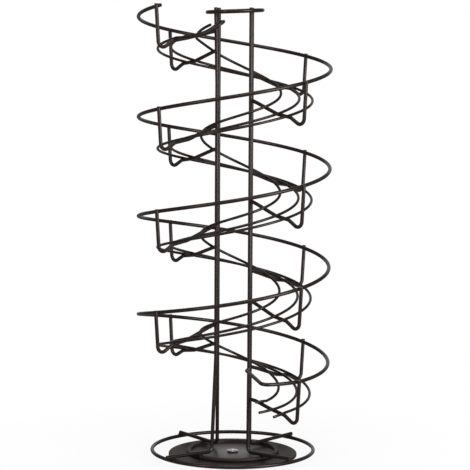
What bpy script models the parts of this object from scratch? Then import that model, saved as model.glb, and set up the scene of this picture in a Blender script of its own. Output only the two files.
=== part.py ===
"""Spiral rack of black wire that turns on a low round base.

Everything is in metres, +Z up, with the origin on the table under the
turning axis. The front of the rack is -Y. A turn angle is counted in degrees
from the first support at the top and grows as the spiral runs down.
"""
import math

import bpy
from mathutils import Vector

# Wire and sheet stock
WIRE_DIAMETER = 0.0034
RAIL_DIAMETER = 0.0025
WELD_GAP = 0.00025
RUNNING_CLEARANCE = 0.0003
SHEET_THICKNESS = 0.001
DISH_THICKNESS = 0.0007

# Base that stays still on the table
FOOT_HEIGHT = 0.0018
FOOT_RADIUS = 0.0055
FOOT_CIRCLE_RADIUS = 0.0505
FOOT_TAPER = 0.0006
FOOT_BEVEL = 0.0005
PLATE_RADIUS = 0.0595
PLATE_LIP_DROP = 0.0022
PLATE_EDGE_ROUND = 0.0008
PLATE_WELL_DEPTH = 0.001
PLATE_WELL_REACH = 0.001
WELL_SLOPE_RUN = 0.0015

# Pivot
SHANK_RADIUS = 0.0025
HEAD_RADIUS = 0.0055
HEAD_HEIGHT = 0.0016
HEAD_EDGE_HEIGHT = 0.0005
HEAD_SLOT_LENGTH = 0.0052
HEAD_SLOT_WIDTH = 0.0011
HEAD_SLOT_DEPTH = 0.0009
THRUST_WASHER_RADIUS = 0.012
THRUST_WASHER_THICKNESS = 0.0005
LOCK_WASHER_RADIUS = 0.0048
LOCK_WASHER_THICKNESS = 0.0006
CUT_OVERRUN = 0.002

# Turning dish with a raised hollow rim
DISH_RADIUS = 0.0427
DISH_RIM_WIDTH = 0.0042
DISH_RIM_HEIGHT = 0.0033
DISH_RIM_ROUND = 0.0013
DISH_SKIRT_CLEARANCE = 0.0006
DISH_WALL_RUN = 0.0008

# Column of four posts whose feet turn outwards as legs
POST_HALF_SPACING = 0.0152
POST_TOP_DROP = 0.0015
POST_END_ABOVE_RING = 0.0016
LEG_OVERHANG = 0.0018
FRONT_LEFT_LEG_OVERHANG = 0.006
BACK_LEFT_LEG_OVERHANG = 0.0001
LEG_RISE_ANGLE = 2.4
LEG_BEND_RADIUS = 0.005
SPLAY_HEIGHT = 0.094
FRONT_LEFT_SPLAY_X = -0.0033
FRONT_LEFT_SPLAY_Y = -0.0038
FRONT_RIGHT_SPLAY_X = -0.0003
FRONT_RIGHT_SPLAY_Y = -0.0036
LEAN_DROP = 0.0678
FRONT_LEFT_LEAN_X = -0.0015
FRONT_LEFT_LEAN_Y = 0.0016
TOP_RING_TILT = -2.3
BASE_RING_RADIUS = 0.0747

# Spiral channel
SUPPORT_STEP = 90
FIRST_SUPPORT_AZIMUTH = -45
SUPPORT_SWINGS = (2, 0, 0, -1.4, -0.3, -0.8, 0, -0.3, 1.4, 0.5, 0, 1, 2.1, 0.8, 0, 1.9)
CHANNEL_TOP_HEIGHT = 0.4151
CHANNEL_END_HEIGHT = 0.075
RUN_OUT_TURN = 180
GUARD_RUN_OUT_LIFT = 0.007
TRACK_RUN_OUT_LIFT = 0.0062
GUARD_RADIUS = 0.0875
GUARD_START_TURN = 0.6
OUTER_RAIL_RADIUS = 0.0705
MIDDLE_RAIL_RADIUS = 0.0585
OUTER_PAIR_SHIFT_X = 0.0005
INNER_RAIL_RADIUS = 0.0363
INNER_RAIL_SHIFT_X = 0.0060
INNER_RAIL_SHIFT_Y = -0.0018
OUTER_RAIL_END_TURN = 1362
MIDDLE_RAIL_END_TURN = 1369.5
INNER_RAIL_START_TURN = -5
INNER_RAIL_END_TURN = 1369
INNER_START_SPREAD = 0.0043
INNER_SPREAD_TURNS = 45
MIDDLE_END_LIFT = 0.0026
INNER_END_LIFT = 0.0033
NOSE_TURN = -33
NOSE_SAG = 0.0065
NOSE_CURL_POWER = 3
OUTER_CURL = 0.0066
MIDDLE_CURL = 0.01
NOSE_LIFT = 0.0019

# Supports, as drops below the channel's own height and set-outs from rails
ROOT_DROP = 0.0181
FIRST_ROOT_DROP = 0.023
SHOULDER_SET_OUT = 0.0067
SHOULDER_DROP = 0.0201
KNEE_SET_IN = 0.003
SHELF_DROP = 0.0291
LAST_ROOT_DROP = 0.0246
LAST_SHOULDER_SET_OUT = 0.0087
LAST_SHOULDER_DROP = 0.025
LAST_KNEE_SET_IN = 0.0072
LAST_LIP_DROP = 0.0322
LIP_SET_OUT = 0.0013
LIP_DROP = 0.0315
LOOP_SET_OUT = 0.0003
LOOP_DROP = 0.0406
LOOP_BEND_RADIUS = 0.0055
SHELF_BEND_RADIUS = 0.009
LIP_BEND_RADIUS = 0.006
UPRIGHT_OVERRUN = 0.0018

# End of the guard rail, which bends in to the front right post
TAIL_LEAVE_TURN = 16
TAIL_RUN = 0.0142
TAIL_BEND_RADIUS = 0.0135
TAIL_RISE = 0.003
TAIL_HOOK_SET_LEFT = 0.0016
TAIL_HOOK_SET_FORWARD = 0.0105
TAIL_HOOK_BEND_RADIUS = 0.004
TAIL_END_AZIMUTH = 12

# Facets
POINTS_PER_TURN = 24
BEND_STEPS = 3
WIDE_BEND_STEPS = 5
NOSE_STEPS = 8
TURNED_STEPS = 48
SMALL_TURNED_STEPS = 24
RING_SEGMENTS = 48
TOP_RING_SEGMENTS = 32
RING_SIDES = 8
MERGE_DISTANCE = 0.00001

LAST_TURN = SUPPORT_STEP * (len(SUPPORT_SWINGS) - 1)

# The channel's drop for each turn, and the posts, which stop below its top
CHANNEL_PITCH = (CHANNEL_TOP_HEIGHT - CHANNEL_END_HEIGHT) * 360 / LAST_TURN
POST_HEIGHT = CHANNEL_TOP_HEIGHT - POST_TOP_DROP
LEAN_HEIGHT = POST_HEIGHT - LEAN_DROP

# Heights of the base stack, from the table up
PLATE_UNDERSIDE = FOOT_HEIGHT + WELD_GAP
PLATE_TOP = PLATE_UNDERSIDE + SHEET_THICKNESS
WELL_TOP = PLATE_TOP - PLATE_WELL_DEPTH
WASHER_BOTTOM = WELL_TOP + WELD_GAP
WASHER_TOP = WASHER_BOTTOM + THRUST_WASHER_THICKNESS
DISH_UNDERSIDE = WASHER_TOP + WELD_GAP
DISH_FLOOR_TOP = DISH_UNDERSIDE + DISH_THICKNESS
DISH_RIM_TOP = PLATE_TOP + DISH_RIM_HEIGHT
HEAD_BOTTOM = DISH_FLOOR_TOP + RUNNING_CLEARANCE
LOCK_WASHER_TOP = WELL_TOP - SHEET_THICKNESS - WELD_GAP
LOCK_WASHER_BOTTOM = LOCK_WASHER_TOP - LOCK_WASHER_THICKNESS
LEG_RISE = math.tan(math.radians(LEG_RISE_ANGLE))
LEG_SEAT_RADIUS = DISH_RADIUS - DISH_RIM_WIDTH / 2
LEG_SEAT_HEIGHT = DISH_RIM_TOP + WELD_GAP + WIRE_DIAMETER / 2

COLLECTION_NAME = "spiral_egg_rack"
CUTTERS_NAME = "spiral_egg_rack_cutters"


def clear_scene():
    for item in list(bpy.data.objects):
        bpy.data.objects.remove(item, do_unlink=True)


def new_collection(name):
    collection = bpy.data.collections.new(name)
    bpy.context.scene.collection.children.link(collection)
    return collection


def new_material(name, colour, roughness, metallic):
    material = bpy.data.materials.new(name)
    material.use_nodes = True
    shader = material.node_tree.nodes["Principled BSDF"]
    shader.inputs["Base Color"].default_value = (*colour, 1)
    shader.inputs["Roughness"].default_value = roughness
    shader.inputs["Metallic"].default_value = metallic
    material.diffuse_color = (*colour, 1)
    return material


def add_object(name, data, material):
    item = bpy.data.objects.new(name, data)
    item.data.materials.append(material)
    bpy.data.collections[COLLECTION_NAME].objects.link(item)
    return item


def keep_active(name, material):
    """Names the primitive just added and moves it to the rack's collection."""
    item = bpy.context.active_object
    item.name = name
    item.data.name = name
    item.data.materials.append(material)
    for collection in list(item.users_collection):
        collection.objects.unlink(item)
    bpy.data.collections[COLLECTION_NAME].objects.link(item)
    return item


def smooth(item):
    item.data.shade_smooth()
    item.data.set_sharp_from_angle(angle=math.radians(40))


def wire(name, points, diameter, material):
    """A round wire through the given points, with flat cut ends."""
    curve = bpy.data.curves.new(name, "CURVE")
    curve.dimensions = "3D"
    curve.bevel_depth = diameter / 2
    curve.bevel_resolution = 2
    curve.use_fill_caps = True
    spline = curve.splines.new("POLY")
    spline.points.add(len(points) - 1)
    for point, place in zip(spline.points, points):
        point.co = (*place, 1)
    return add_object(name, curve, material)


def wire_ring(name, radius, height, segments, material):
    bpy.ops.mesh.primitive_torus_add(
        major_radius=radius,
        minor_radius=WIRE_DIAMETER / 2,
        major_segments=segments,
        minor_segments=RING_SIDES,
        location=(0, 0, height),
    )
    item = keep_active(name, material)
    smooth(item)
    return item


def turned(name, profile, closed, steps, material):
    """Turns a profile of (radius, height) points about the Z axis."""
    mesh = bpy.data.meshes.new(name)
    count = len(profile)
    edges = [(i, i + 1) for i in range(count - 1)]
    if closed:
        edges.append((count - 1, 0))
    mesh.from_pydata([(r, 0, z) for r, z in profile], edges, [])
    item = add_object(name, mesh, material)
    screw = item.modifiers.new("Turn", "SCREW")
    screw.axis = "Z"
    screw.steps = steps
    screw.render_steps = steps
    screw.use_merge_vertices = True
    screw.merge_threshold = MERGE_DISTANCE
    depsgraph = bpy.context.evaluated_depsgraph_get()
    finished = bpy.data.meshes.new_from_object(item.evaluated_get(depsgraph))
    finished.name = name
    item.modifiers.clear()
    item.data = finished
    bpy.data.meshes.remove(mesh)
    smooth(item)
    return item


def cut(item, cutter):
    cutter.hide_render = True
    cutter.display_type = "WIRE"
    boolean = item.modifiers.new("Cut", "BOOLEAN")
    boolean.operation = "DIFFERENCE"
    boolean.object = cutter


def slot_cutter(name, size, centre):
    bpy.ops.mesh.primitive_cube_add(size=1, location=centre)
    cutter = bpy.context.active_object
    cutter.name = name
    cutter.scale = size
    for collection in list(cutter.users_collection):
        collection.objects.unlink(cutter)
    bpy.data.collections[CUTTERS_NAME].objects.link(cutter)
    return cutter


def arc(centre, radius, start, end, steps):
    """Points of an arc in a (radius, height) plane, angles in degrees."""
    points = []
    for step in range(steps + 1):
        angle = math.radians(start + (end - start) * step / steps)
        points.append((
            centre[0] + radius * math.cos(angle),
            centre[1] + radius * math.sin(angle),
        ))
    return points


def bent_path(corners, radii, steps):
    """Straight runs between corners, with each inner corner on an arc.

    An arc is drawn in where a run is too short for its radius.
    """
    corners = [Vector(corner) for corner in corners]
    points = [corners[0]]
    for index in range(1, len(corners) - 1):
        corner = corners[index]
        run_in = corner - corners[index - 1]
        run_out = corners[index + 1] - corner
        room = min(run_in.length, run_out.length) / 2
        ahead = run_in.normalized()
        after = run_out.normalized()
        angle = ahead.angle(after)
        setback = min(radii[index - 1] * math.tan(angle / 2), room)
        radius = setback / math.tan(angle / 2)
        inward = (after - ahead * ahead.dot(after)).normalized()
        centre = corner - ahead * setback + inward * radius
        for step in range(steps + 1):
            share = angle * step / steps
            points.append(
                centre
                + (ahead * math.sin(share) - inward * math.cos(share)) * radius
            )
    points.append(corners[-1])
    return points


def plan_direction(azimuth):
    """Unit vector in plan, azimuth in degrees from the front to the right."""
    angle = math.radians(azimuth)
    return Vector((math.sin(angle), -math.cos(angle), 0))


def turn_direction(turn):
    return plan_direction(FIRST_SUPPORT_AZIMUTH - turn)


def run_out_share(turn):
    """How much of the run-out lift is reached at a turn angle."""
    share = (turn - (LAST_TURN - RUN_OUT_TURN)) / RUN_OUT_TURN
    return min(max(share, 0), 1) ** 4


def channel_height(turn, run_out_lift):
    fall = CHANNEL_PITCH * turn / 360
    return CHANNEL_TOP_HEIGHT - fall + run_out_lift * run_out_share(turn)


def guard_height(turn):
    return channel_height(min(turn, LAST_TURN), GUARD_RUN_OUT_LIFT)


def track_height(turn):
    return channel_height(turn, TRACK_RUN_OUT_LIFT)


def turns_between(start, end):
    """Turn angles from start to end, with the facets on whole steps."""
    step = 360 / POINTS_PER_TURN
    first = math.floor(start / step) + 1
    last = math.ceil(end / step) - 1
    inner = [step * index for index in range(first, last + 1)]
    return [start] + inner + [end]


# The base


def make_base(materials):
    for name, azimuth in (
        ("foot_front", 0),
        ("foot_right", 90),
        ("foot_back", 180),
        ("foot_left", 270),
    ):
        foot = turned(name, foot_profile(), False, SMALL_TURNED_STEPS, materials["rubber"])
        foot.location = plan_direction(azimuth) * FOOT_CIRCLE_RADIUS
    turned("base_plate", plate_profile(), True, TURNED_STEPS, materials["sheet"])
    thrust_washer = washer_profile(
        SHANK_RADIUS + RUNNING_CLEARANCE, THRUST_WASHER_RADIUS, WASHER_TOP, WASHER_BOTTOM
    )
    turned("thrust_washer", thrust_washer, True, SMALL_TURNED_STEPS, materials["nylon"])
    make_pivot_screw(materials["steel"])
    lock_washer = washer_profile(
        SHANK_RADIUS + WELD_GAP, LOCK_WASHER_RADIUS, LOCK_WASHER_TOP, LOCK_WASHER_BOTTOM
    )
    turned("lock_washer", lock_washer, True, SMALL_TURNED_STEPS, materials["steel"])


def washer_profile(bore, radius, top, bottom):
    return [(bore, top), (radius, top), (radius, bottom), (bore, bottom)]


def foot_profile():
    top_radius = FOOT_RADIUS - FOOT_TAPER
    return [
        (0, FOOT_HEIGHT),
        (top_radius, FOOT_HEIGHT),
        (FOOT_RADIUS, FOOT_BEVEL),
        (FOOT_RADIUS - FOOT_BEVEL, 0),
        (0, 0),
    ]


def plate_profile():
    """Flat flange with a shallow well inside and an edge turned down."""
    hole = SHANK_RADIUS + RUNNING_CLEARANCE
    well_edge = DISH_RADIUS - DISH_RIM_WIDTH + PLATE_WELL_REACH
    well_floor = well_edge - WELL_SLOPE_RUN
    inner_edge = PLATE_RADIUS - SHEET_THICKNESS
    round_centre = (PLATE_RADIUS - PLATE_EDGE_ROUND, PLATE_TOP - PLATE_EDGE_ROUND)
    return [
        (hole, WELL_TOP),
        (well_floor, WELL_TOP),
        (well_edge, PLATE_TOP),
        *arc(round_centre, PLATE_EDGE_ROUND, 90, 0, BEND_STEPS),
        (PLATE_RADIUS, PLATE_TOP - PLATE_LIP_DROP),
        (inner_edge, PLATE_TOP - PLATE_LIP_DROP),
        (inner_edge, PLATE_UNDERSIDE),
        (well_edge, PLATE_UNDERSIDE),
        (well_floor, WELL_TOP - SHEET_THICKNESS),
        (hole, WELL_TOP - SHEET_THICKNESS),
    ]


def make_pivot_screw(material):
    head_top = HEAD_BOTTOM + HEAD_HEIGHT
    dome_height = HEAD_HEIGHT - HEAD_EDGE_HEIGHT
    dome = []
    for step in range(WIDE_BEND_STEPS + 1):
        angle = math.radians(90 * step / WIDE_BEND_STEPS)
        dome.append((
            HEAD_RADIUS * math.sin(angle),
            HEAD_BOTTOM + HEAD_EDGE_HEIGHT + dome_height * math.cos(angle),
        ))
    profile = [
        *dome,
        (HEAD_RADIUS, HEAD_BOTTOM),
        (SHANK_RADIUS, HEAD_BOTTOM),
        (SHANK_RADIUS, LOCK_WASHER_BOTTOM),
        (0, LOCK_WASHER_BOTTOM),
    ]
    item = turned("pivot_screw", profile, False, SMALL_TURNED_STEPS, material)
    height = HEAD_SLOT_DEPTH + CUT_OVERRUN
    centre = (0, 0, head_top - HEAD_SLOT_DEPTH + height / 2)
    along_x = (HEAD_SLOT_LENGTH, HEAD_SLOT_WIDTH, height)
    along_y = (HEAD_SLOT_WIDTH, HEAD_SLOT_LENGTH, height)
    cut(item, slot_cutter("screw_slot_cutter_x", along_x, centre))
    cut(item, slot_cutter("screw_slot_cutter_y", along_y, centre))


# The turning dish


def dish_profile():
    """Flat floor, a wall up to the hollow raised rim, and a skirt outside."""
    hole = SHANK_RADIUS + RUNNING_CLEARANCE
    sheet = DISH_THICKNESS
    rim_inner = DISH_RADIUS - DISH_RIM_WIDTH
    wall_foot = rim_inner - DISH_WALL_RUN
    skirt_bottom = PLATE_TOP + DISH_SKIRT_CLEARANCE
    round_height = DISH_RIM_TOP - DISH_RIM_ROUND
    inner_round = (rim_inner + DISH_RIM_ROUND, round_height)
    outer_round = (DISH_RADIUS - DISH_RIM_ROUND, round_height)
    inside_round = DISH_RIM_ROUND - sheet
    return [
        (hole, DISH_FLOOR_TOP),
        (wall_foot, DISH_FLOOR_TOP),
        *arc(inner_round, DISH_RIM_ROUND, 180, 90, BEND_STEPS),
        *arc(outer_round, DISH_RIM_ROUND, 90, 0, BEND_STEPS),
        (DISH_RADIUS, skirt_bottom),
        (DISH_RADIUS - sheet, skirt_bottom),
        *arc(outer_round, inside_round, 0, 90, 2),
        *arc(inner_round, inside_round, 90, 180, 2),
        (wall_foot + sheet, DISH_UNDERSIDE),
        (hole, DISH_UNDERSIDE),
    ]


def make_dish(material):
    turned("swivel_dish", dish_profile(), True, TURNED_STEPS, material)


# The column


def leg_height(radius):
    """Height of the legs' centre lines, which rise from the dish to the ring."""
    return LEG_SEAT_HEIGHT + LEG_RISE * (radius - LEG_SEAT_RADIUS)


POST_CIRCLE_RADIUS = math.hypot(POST_HALF_SPACING, POST_HALF_SPACING)
POST_FOOT_HEIGHT = leg_height(POST_CIRCLE_RADIUS)
BASE_RING_HEIGHT = leg_height(BASE_RING_RADIUS) - WIRE_DIAMETER - WELD_GAP
POSTS = {
    "post_front_left": {
        "sides": (-1, -1),
        "splay": (FRONT_LEFT_SPLAY_X, FRONT_LEFT_SPLAY_Y),
        "lean": (FRONT_LEFT_LEAN_X, FRONT_LEFT_LEAN_Y),
        "overhang": FRONT_LEFT_LEG_OVERHANG,
    },
    "post_front_right": {
        "sides": (1, -1),
        "splay": (FRONT_RIGHT_SPLAY_X, FRONT_RIGHT_SPLAY_Y),
        "lean": (0, 0),
        "overhang": LEG_OVERHANG,
    },
    "post_back_left": {
        "sides": (-1, 1),
        "splay": (0, 0),
        "lean": (0, 0),
        "overhang": BACK_LEFT_LEG_OVERHANG,
    },
    "post_back_right": {
        "sides": (1, 1),
        "splay": (0, 0),
        "lean": (0, 0),
        "overhang": LEG_OVERHANG,
    },
}


def post_axis(post, height):
    """Place of a post's centre line in plan at a height."""
    splay = (SPLAY_HEIGHT - height) / (SPLAY_HEIGHT - POST_FOOT_HEIGHT)
    lean = (height - LEAN_HEIGHT) / (POST_HEIGHT - LEAN_HEIGHT)
    place = Vector((*post["sides"], 0)) * POST_HALF_SPACING
    place += Vector((*post["splay"], 0)) * min(max(splay, 0), 1)
    place += Vector((*post["lean"], 0)) * min(max(lean, 0), 1)
    return place


def post_for(turn):
    """The post that a support at this turn angle grows from."""
    direction = turn_direction(turn)
    for post in POSTS.values():
        side_x, side_y = post["sides"]
        if side_x * direction.x > 0 and side_y * direction.y > 0:
            return post
    raise ValueError("no post stands in this direction")


def post_path(post):
    """Down the post, round the bend at its foot and out along its leg."""
    outwards = Vector((*post["sides"], 0)).normalized()
    heights = [POST_HEIGHT]
    if any(post["lean"]):
        heights.append(LEAN_HEIGHT)
    if any(post["splay"]):
        heights.append(SPLAY_HEIGHT)
    shaft = [post_axis(post, height) + Vector((0, 0, height)) for height in heights]
    foot = post_axis(post, POST_FOOT_HEIGHT) + Vector((0, 0, POST_FOOT_HEIGHT))
    reach = BASE_RING_RADIUS + post["overhang"]
    leg_end = outwards * reach + Vector((0, 0, leg_height(reach)))
    bend = bent_path([shaft[-1], foot, leg_end], [LEG_BEND_RADIUS], BEND_STEPS)
    return shaft[:-1] + bend


def make_column(material):
    for name, post in POSTS.items():
        wire(name, post_path(post), WIRE_DIAMETER, material)
    ring_radius = POST_CIRCLE_RADIUS + WIRE_DIAMETER + WELD_GAP
    ring_height = POST_HEIGHT - POST_END_ABOVE_RING - WIRE_DIAMETER / 2
    ring = wire_ring("top_ring", ring_radius, ring_height, TOP_RING_SEGMENTS, material)
    ring.rotation_euler.y = math.radians(TOP_RING_TILT)
    wire_ring("base_ring", BASE_RING_RADIUS, BASE_RING_HEIGHT, RING_SEGMENTS, material)


# The channel's supports


def support_corners(turn, kind):
    """Corners of a support in its own (radius, height) plane.

    The first and last supports are flatter, and the first has no shoulder.
    """
    last = kind == "last"
    root_drop = LAST_ROOT_DROP if last else ROOT_DROP
    shoulder_drop = LAST_SHOULDER_DROP if last else SHOULDER_DROP
    lip_drop = LAST_LIP_DROP if last else LIP_DROP
    shoulder_set_out = LAST_SHOULDER_SET_OUT if last else SHOULDER_SET_OUT
    shoulder = POST_CIRCLE_RADIUS + WIRE_DIAMETER / 2 + shoulder_set_out
    knee = MIDDLE_RAIL_RADIUS - (LAST_KNEE_SET_IN if last else KNEE_SET_IN)
    upright = GUARD_RADIUS + WIRE_DIAMETER + WELD_GAP
    level = track_height(turn)
    bends = [(shoulder, level - shoulder_drop), (knee, level - SHELF_DROP)]
    if kind == "first":
        root_drop = FIRST_ROOT_DROP
        bends = bends[1:]
    run = bends[0][0] - POST_CIRCLE_RADIUS - WIRE_DIAMETER / 2
    tilt = math.atan((level - root_drop - bends[0][1]) / run)
    post_reach = post_axis(post_for(turn), level - root_drop).dot(turn_direction(turn))
    root = post_reach + WIRE_DIAMETER / 2 * (1 + math.sin(tilt)) + WELD_GAP
    return [
        (root, level - root_drop),
        *bends,
        (OUTER_RAIL_RADIUS + LIP_SET_OUT, level - lip_drop),
        (GUARD_RADIUS + LOOP_SET_OUT, level - LOOP_DROP),
        (upright, guard_height(turn) + UPRIGHT_OVERRUN),
    ]


def support_path(turn, kind):
    """Bent centre line of a support in its (radius, height) plane."""
    corners = support_corners(turn, kind)
    radii = [SHELF_BEND_RADIUS, SHELF_BEND_RADIUS, LIP_BEND_RADIUS, LOOP_BEND_RADIUS]
    return bent_path(corners, radii[len(radii) - len(corners) + 2:], BEND_STEPS)


def make_supports(material):
    kinds = ["plain"] * len(SUPPORT_SWINGS)
    kinds[0] = "first"
    kinds[-1] = "last"
    for index, (kind, swing) in enumerate(zip(kinds, SUPPORT_SWINGS)):
        turn = SUPPORT_STEP * index + swing
        outwards = turn_direction(turn)
        path = [outwards * r + Vector((0, 0, z)) for r, z in support_path(turn, kind)]
        wire("support_%02d" % (index + 1), path, WIRE_DIAMETER, material)


# The channel's rails


def shelf(turn, kind, radius):
    """Height and slope of a support's centre line at a radius."""
    path = support_path(turn, kind)
    for near, far in zip(path, path[1:]):
        if near.x <= radius <= far.x:
            slope = (far.y - near.y) / (far.x - near.x)
            return near.y + slope * (radius - near.x) - track_height(turn), slope
    raise ValueError("a rail lies outside the supports")


def seat_height(turn, radius):
    """Height of a rail's centre line where it lies on the supports.

    Over the last step it eases from the plain supports to the last one.
    """
    plain, plain_slope = shelf(SUPPORT_STEP, "plain", radius)
    last, last_slope = shelf(LAST_TURN, "last", radius)
    share = min(max((turn - (LAST_TURN - SUPPORT_STEP)) / SUPPORT_STEP, 0), 1)
    drop = plain + (last - plain) * share
    slope = plain_slope + (last_slope - plain_slope) * share
    fall = CHANNEL_PITCH / (2 * math.pi * radius)
    reach = (WIRE_DIAMETER + RAIL_DIAMETER) / 2 + WELD_GAP
    lift = reach * math.sqrt(1 + slope ** 2 + fall ** 2)
    return track_height(turn) + drop + lift


def rail_point(turn, radius, shift):
    """A point of a rail whose spiral is centred at a shift from the axis."""
    place = turn_direction(turn) * radius + shift
    azimuth = math.degrees(math.atan2(place.x, -place.y))
    own = FIRST_SUPPORT_AZIMUTH - azimuth
    own += 360 * round((turn - own) / 360)
    distance = math.hypot(place.x, place.y)
    return Vector((place.x, place.y, seat_height(own, distance)))


def pair_point(turn, radius, curl):
    """A point of the outer or middle rail.

    Above the first support the two sag a little, then curl up to the nose,
    the middle rail more than the outer one.
    """
    point = rail_point(turn, radius, Vector((OUTER_PAIR_SHIFT_X, 0, 0)))
    share = max(turn / NOSE_TURN, 0)
    point.z += curl * share ** NOSE_CURL_POWER - NOSE_SAG * share
    return point


def end_lift(turn, end_turn, lift):
    """How far a rail's free end rises past the last support."""
    share = max((turn - LAST_TURN) / (end_turn - LAST_TURN), 0)
    return Vector((0, 0, lift * share))


def inner_point(turn):
    """A point of the inner rail, which starts a little wider."""
    share = min(max(2 - turn / INNER_SPREAD_TURNS, 0), 1)
    radius = INNER_RAIL_RADIUS + INNER_START_SPREAD * share ** 2
    shift = Vector((INNER_RAIL_SHIFT_X, INNER_RAIL_SHIFT_Y, 0))
    return rail_point(turn, radius, shift) + end_lift(turn, INNER_RAIL_END_TURN, INNER_END_LIFT)


def nose():
    """The bend that joins the outer to the middle rail at the top."""
    inner = pair_point(NOSE_TURN, MIDDLE_RAIL_RADIUS, MIDDLE_CURL)
    outer = pair_point(NOSE_TURN, OUTER_RAIL_RADIUS, OUTER_CURL)
    centre = (inner + outer) / 2
    radius = (OUTER_RAIL_RADIUS - MIDDLE_RAIL_RADIUS) / 2
    outwards = turn_direction(NOSE_TURN)
    ahead = turn_direction(NOSE_TURN - 90)
    points = []
    for step in range(1, NOSE_STEPS):
        angle = math.radians(180 * step / NOSE_STEPS)
        place = centre + (outwards * math.cos(angle) + ahead * math.sin(angle)) * radius
        place.z = outer.z + (inner.z - outer.z) * math.sin(angle / 2)
        place.z += NOSE_LIFT * math.sin(angle)
        points.append(place)
    return points


def make_track_rails(material):
    outer = [
        pair_point(turn, OUTER_RAIL_RADIUS, OUTER_CURL)
        for turn in turns_between(NOSE_TURN, OUTER_RAIL_END_TURN)
    ]
    middle = [
        pair_point(turn, MIDDLE_RAIL_RADIUS, MIDDLE_CURL)
        + end_lift(turn, MIDDLE_RAIL_END_TURN, MIDDLE_END_LIFT)
        for turn in turns_between(NOSE_TURN, MIDDLE_RAIL_END_TURN)
    ]
    inner = [
        inner_point(turn)
        for turn in turns_between(INNER_RAIL_START_TURN, INNER_RAIL_END_TURN)
    ]
    wire("track_rail_outer_pair", outer[::-1] + nose() + middle, RAIL_DIAMETER, material)
    wire("track_rail_inner", inner, RAIL_DIAMETER, material)


def guard_point(turn):
    return turn_direction(turn) * GUARD_RADIUS + Vector((0, 0, guard_height(turn)))


def guard_tail():
    """The rail leaves the spiral, bends in and ends against a post."""
    leave_turn = LAST_TURN + TAIL_LEAVE_TURN
    leave = guard_point(leave_turn)
    ahead = turn_direction(leave_turn + 90)
    height = leave.z + TAIL_RISE
    post = post_axis(POSTS["post_front_right"], height)
    hook = post - Vector((TAIL_HOOK_SET_LEFT, TAIL_HOOK_SET_FORWARD, 0))
    end = post + plan_direction(TAIL_END_AZIMUTH) * (WIRE_DIAMETER / 2 + 2 * WELD_GAP)
    leave_plan = Vector((leave.x, leave.y, 0))
    corners = [leave_plan, leave_plan + ahead * TAIL_RUN, hook, end]
    path = bent_path(corners, [TAIL_BEND_RADIUS, TAIL_HOOK_BEND_RADIUS], WIDE_BEND_STEPS)
    lengths = [0]
    for near, far in zip(path, path[1:]):
        lengths.append(lengths[-1] + (far - near).length)
    for point, length in zip(path, lengths):
        point.z = leave.z + TAIL_RISE * length / lengths[-1]
    return path


def make_guard_rail(material):
    leave_turn = LAST_TURN + TAIL_LEAVE_TURN
    spiral = [guard_point(turn) for turn in turns_between(GUARD_START_TURN, leave_turn)]
    wire("guard_rail", spiral[:-1] + guard_tail(), WIRE_DIAMETER, material)


def main():
    clear_scene()
    new_collection(COLLECTION_NAME)
    new_collection(CUTTERS_NAME)
    black = (0.016, 0.013, 0.012)
    materials = {
        "wire": new_material("black_wire", black, 0.35, 0),
        "sheet": new_material("black_sheet", black, 0.3, 0),
        "steel": new_material("bright_steel", (0.72, 0.72, 0.74), 0.25, 1),
        "rubber": new_material("black_rubber", (0.02, 0.02, 0.02), 0.8, 0),
        "nylon": new_material("white_nylon", (0.8, 0.8, 0.76), 0.5, 0),
    }
    make_base(materials)
    make_dish(materials["sheet"])
    make_column(materials["wire"])
    make_supports(materials["wire"])
    make_track_rails(materials["wire"])
    make_guard_rail(materials["wire"])


main()
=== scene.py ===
"""Spiral rack of black wire on a turning dish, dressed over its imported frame.

Everything is in metres, +Z up, with the origin on the table under the
turning axis. The front of the rack is -Y. A turn angle is counted in degrees
from the first support at the top and grows as the spiral runs down.
"""
import math

import bmesh
import bpy
from bpy.props import FloatProperty, FloatVectorProperty, IntProperty, PointerProperty
from mathutils import Matrix, Vector


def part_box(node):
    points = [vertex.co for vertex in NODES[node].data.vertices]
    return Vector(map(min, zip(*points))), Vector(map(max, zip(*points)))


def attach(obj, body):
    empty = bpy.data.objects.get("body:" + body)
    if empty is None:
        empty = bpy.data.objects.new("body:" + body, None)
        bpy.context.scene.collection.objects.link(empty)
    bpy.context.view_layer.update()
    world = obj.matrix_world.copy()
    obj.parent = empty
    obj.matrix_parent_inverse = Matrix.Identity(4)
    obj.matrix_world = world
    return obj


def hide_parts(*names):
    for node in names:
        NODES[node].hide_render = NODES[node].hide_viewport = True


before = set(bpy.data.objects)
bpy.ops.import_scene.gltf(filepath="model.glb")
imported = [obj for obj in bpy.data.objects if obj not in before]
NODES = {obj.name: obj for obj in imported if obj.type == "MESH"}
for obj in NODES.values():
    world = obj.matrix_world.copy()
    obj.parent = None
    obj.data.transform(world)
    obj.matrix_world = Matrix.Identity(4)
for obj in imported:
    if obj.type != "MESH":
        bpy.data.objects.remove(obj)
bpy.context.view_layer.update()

bl_info = {
    "name": "Spiral Wire Rack",
    "version": (1, 0, 0),
    "blender": (4, 5, 0),
    "location": "View3D > Sidebar > Wire Rack",
    "description": "Builds a spiral wire rack piece by piece over its packed frame",
    "category": "Add Mesh",
}

# Wire, gaps and joints
WIRE_DIAMETER = 0.0034
WELD_GAP = 0.00025
WELD_SINK = 0.0004
RAIL_SINK = 0.0012
UPRIGHT_SINK = 0.0001
SUPPORT_LIFT = 0.0007
RUNNING_CLEARANCE = 0.0003
END_ROUND = 0.0004
RAIL_WELD_SHARE = 0.85
ROOT_WELD_STRETCH = 1.1
RIM_WELD_STRETCH = 1.2

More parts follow.
